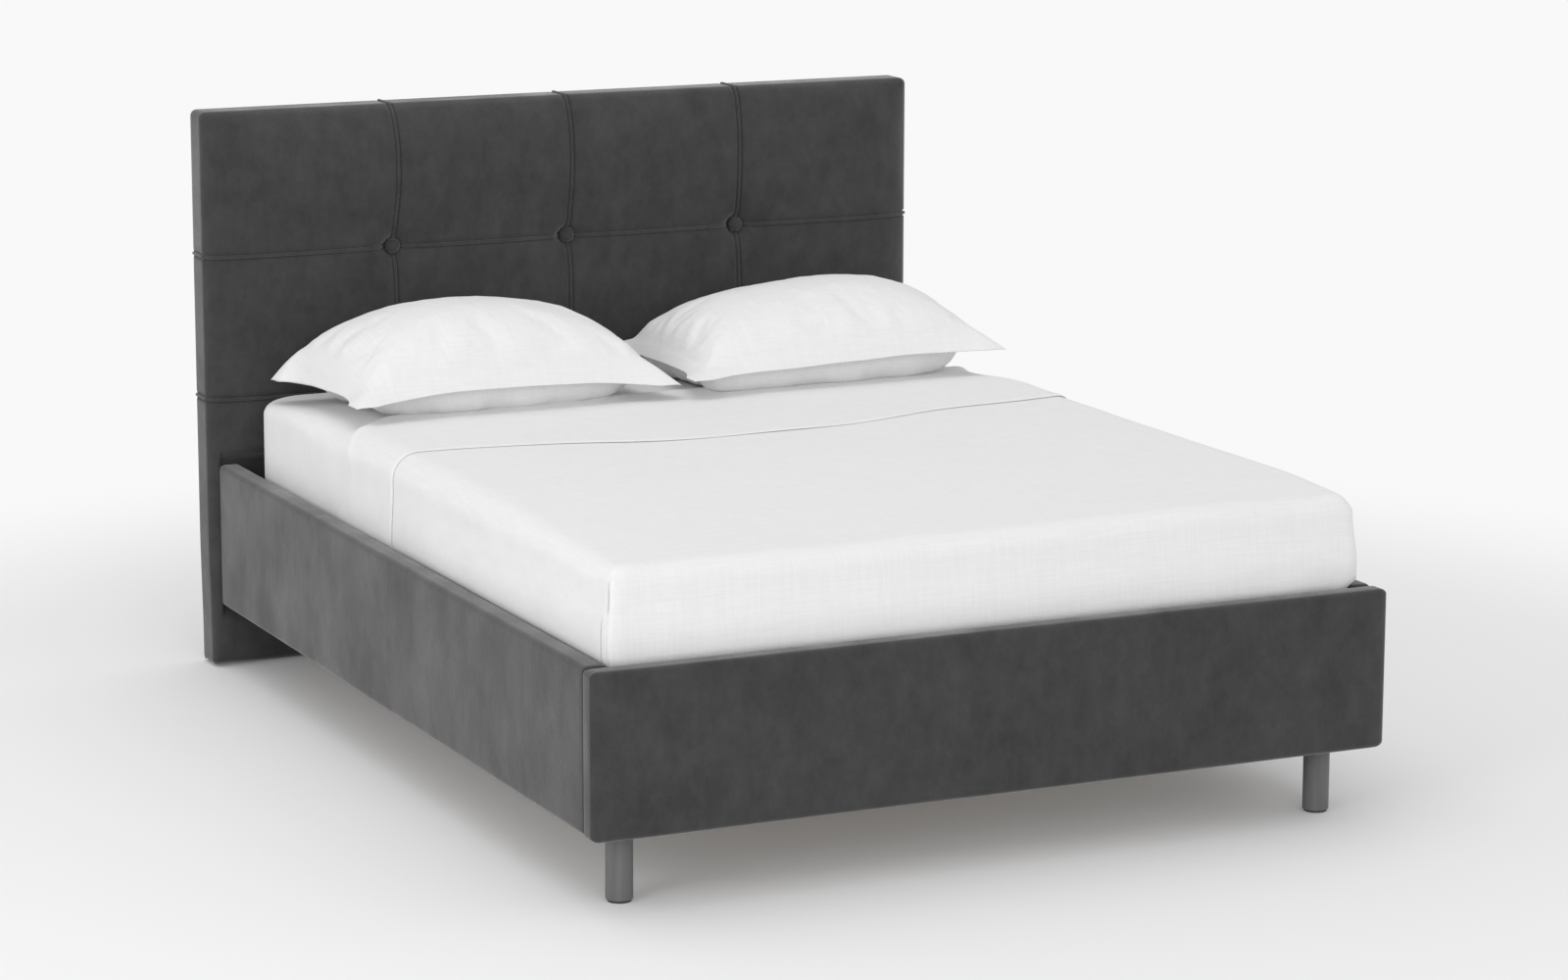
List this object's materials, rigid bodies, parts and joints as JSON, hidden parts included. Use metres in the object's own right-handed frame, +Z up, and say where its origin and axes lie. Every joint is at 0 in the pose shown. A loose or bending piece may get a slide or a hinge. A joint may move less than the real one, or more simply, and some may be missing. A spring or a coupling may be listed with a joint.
{
  "type": "upholstered bed",
  "caption": "Double bed with a tufted upholstered headboard, padded rails, a slatted base, and a mattress made up with sheets and bordered pillows.",
  "frame": {"origin": "on the floor, at the middle of the bed's outline", "axes": "+Y from the foot end to the head end, +Z up, +X to the right seen from the foot end"},
  "size_m": [1.65, 2.154, 1.1955],
  "materials": {
    "velvet": "cut-pile charcoal velvet, matt with a soft sheen",
    "linen": "plain white cotton, matt",
    "ticking": "white mattress ticking, matt",
    "foam": "open-cell upholstery foam, matt",
    "back_cloth": "black spun-bonded cloth, matt",
    "twine": "waxed twine",
    "fill": "fibre filling",
    "board": "sawn plywood and chipboard",
    "pine": "planed pine",
    "leg_grey": "turned beech, painted matt grey",
    "steel": "black powder-coated plate",
    "zinc": "zinc-plated, satin",
    "glide": "moulded black plastic"
  },
  "bodies": {
    "frame": {"beam_bracket_foot": "steel", "beam_bracket_head": "steel", "bracket_bolts": "zinc", "button_twines": "twine", "centre_beam": "pine", "centre_leg": "leg_grey", "foot_bracket_left": "steel", "foot_bracket_right": "steel", "foot_panel_board": "board", "foot_panel_cover": "velvet", "foot_panel_foam": "foam", "front_leg_left": "leg_grey", "front_leg_right": "leg_grey", "head_bracket_left": "steel", "head_bracket_right": "steel", "headboard_back_cloth": "back_cloth", "headboard_bolts": "zinc", "headboard_bottom_rail": "pine", "headboard_buttons": "velvet", "headboard_cover": "velvet", "headboard_face_board": "board", "headboard_foam": "foam", "headboard_glides": "glide", "headboard_middle_rail": "pine", "headboard_post_left": "pine", "headboard_post_right": "pine", "headboard_top_rail": "pine", "ledge_screws": "zinc", "left_rail_board": "board", "left_rail_cover": "velvet", "left_rail_foam": "foam", "leg_bolts": "zinc", "leg_glides": "glide", "right_rail_board": "board", "right_rail_cover": "velvet", "right_rail_foam": "foam", "slat_01": "pine", "slat_02": "pine", "slat_03": "pine", "slat_04": "pine", "slat_05": "pine", "slat_06": "pine", "slat_07": "pine", "slat_08": "pine", "slat_09": "pine", "slat_10": "pine", "slat_11": "pine", "slat_12": "pine", "slat_ledge_left": "pine", "slat_ledge_right": "pine", "threaded_inserts": "zinc"},
    "mattress": {"mattress_core": "foam", "mattress_cover": "ticking", "fitted_sheet": "linen", "top_sheet": "linen"},
    "pillow_left": {"pillow_left_fill": "fill", "pillow_left_case": "linen"},
    "pillow_right": {"pillow_right_fill": "fill", "pillow_right_case": "linen"}
  },
  "joints": [
    {"name": "mattress_lift", "type": "slide", "parent": "frame", "child": "mattress", "axis": [0, 0, 1], "range_m": [0, 0.35]},
    {"name": "pillow_left_lift", "type": "slide", "parent": "mattress", "child": "pillow_left", "axis": [0, 0, 1], "range_m": [0, 0.3]},
    {"name": "pillow_right_lift", "type": "slide", "parent": "mattress", "child": "pillow_right", "axis": [0, 0, 1], "range_m": [0, 0.3]}
  ]
}
